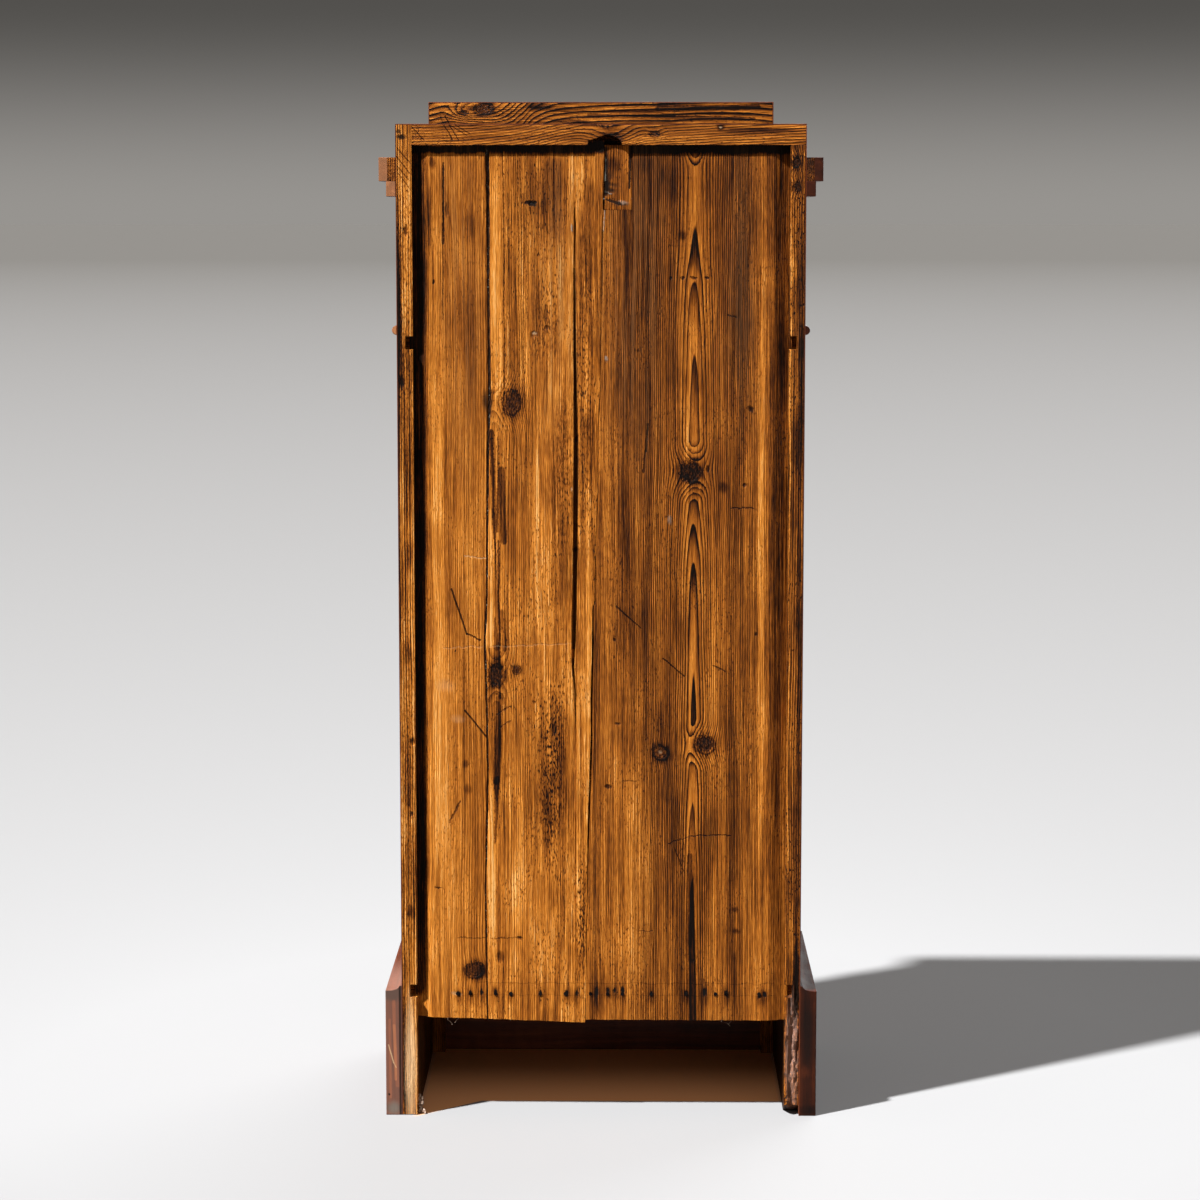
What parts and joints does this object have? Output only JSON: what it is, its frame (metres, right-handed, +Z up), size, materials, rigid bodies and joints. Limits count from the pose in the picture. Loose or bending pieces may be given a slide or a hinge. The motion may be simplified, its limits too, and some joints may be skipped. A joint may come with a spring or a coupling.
{
  "type": "pier cabinet",
  "caption": "Tall narrow veneered cabinet with a full-width drawer over a panelled door, a stepped top with a cornice, a bead, a moulded plinth and a back of nailed boards.",
  "frame": {"origin": "on the floor, at the middle of the whole outline", "axes": "+Z up, -Y to the front with the door and drawer, +X to the right as seen from the front"},
  "size_m": [0.703, 0.4214, 1.642],
  "materials": {
    "pine": "old waxed pine",
    "pine_dark": "old darkened pine",
    "mahogany": "polished red-brown mahogany",
    "brass": "tarnished brass",
    "iron": "dark forged iron"
  },
  "bodies": {
    "carcase": {"side_left": "pine_dark", "side_right": "pine", "side_veneer_left": "mahogany", "side_veneer_right": "mahogany", "top_board": "pine", "top_veneer": "mahogany", "attic_board": "pine", "attic_veneer": "mahogany", "frieze_rail": "pine", "front_veneer": "mahogany", "dust_board": "pine_dark", "bottom_board": "pine_dark", "cornice_core_left": "pine", "cornice_core_right": "pine", "cornice_core_front": "pine", "cornice_fascia_left": "mahogany", "cornice_fascia_right": "mahogany", "cornice_fascia_front": "mahogany", "architrave_left": "mahogany", "architrave_right": "mahogany", "architrave_front": "mahogany", "bead_left": "mahogany", "bead_right": "mahogany", "plinth_left": "mahogany", "plinth_right": "mahogany", "plinth_front": "mahogany", "plinth_blocks": "pine", "back_board_right": "pine", "back_board_middle": "pine", "back_board_left": "pine_dark", "back_patch": "pine", "back_nails": "iron", "shelves": "pine", "shelf_cleats": "pine_dark", "door_stop": "mahogany", "strike_plates": "brass", "hinge_leaves_frame": "brass", "hinge_pins": "brass", "hinge_screws_frame": "iron"},
    "door": {"door_stile_hinge": "mahogany", "door_stile_lock": "mahogany", "door_rail_high": "mahogany", "door_rail_low": "mahogany", "door_panel": "mahogany", "door_moulding": "mahogany", "door_escutcheon": "brass", "door_lock_case": "iron", "hinge_leaves_door": "brass", "hinge_screws_door": "iron"},
    "drawer": {"drawer_front": "mahogany", "drawer_sides": "pine", "drawer_back": "pine", "drawer_bottom": "pine_dark", "drawer_bead": "mahogany", "drawer_escutcheon": "brass", "drawer_lock_case": "iron"},
    "door_bolt": {"door_bolt": "iron"},
    "door_key": {"door_key": "iron"},
    "drawer_bolt": {"drawer_bolt": "iron"},
    "drawer_key": {"drawer_key": "iron"}
  },
  "joints": [
    {"name": "drawer_slide", "type": "slide", "parent": "carcase", "child": "drawer", "axis": [0, -1, 0], "range_m": [0, 0.28]},
    {"name": "door_swing", "type": "hinge", "parent": "carcase", "child": "door", "pos_m": [0.2985, -0.18945, 0.7], "axis": [0, 0, 1], "range_deg": [0, 175]},
    {"name": "door_key_turn", "type": "hinge", "parent": "door", "child": "door_key", "pos_m": [-0.2615, -0.18425, 0.745], "axis": [0, -1, 0], "range_deg": [0, 360]},
    {"name": "door_bolt_slide", "type": "slide", "parent": "door", "child": "door_bolt", "axis": [-1, 0, 0], "range_m": [0, 0.01]},
    {"name": "drawer_key_turn", "type": "hinge", "parent": "drawer", "child": "drawer_key", "pos_m": [0, -0.18425, 1.456], "axis": [0, -1, 0], "range_deg": [0, 360]},
    {"name": "drawer_bolt_slide", "type": "slide", "parent": "drawer", "child": "drawer_bolt", "axis": [0, 0, 1], "range_m": [0, 0.01]}
  ],
  "couplings": [
    {"joint": "door_key_turn", "follows": "door_bolt_slide", "rad_per_m": 628.3},
    {"joint": "drawer_key_turn", "follows": "drawer_bolt_slide", "rad_per_m": 628.3}
  ]
}
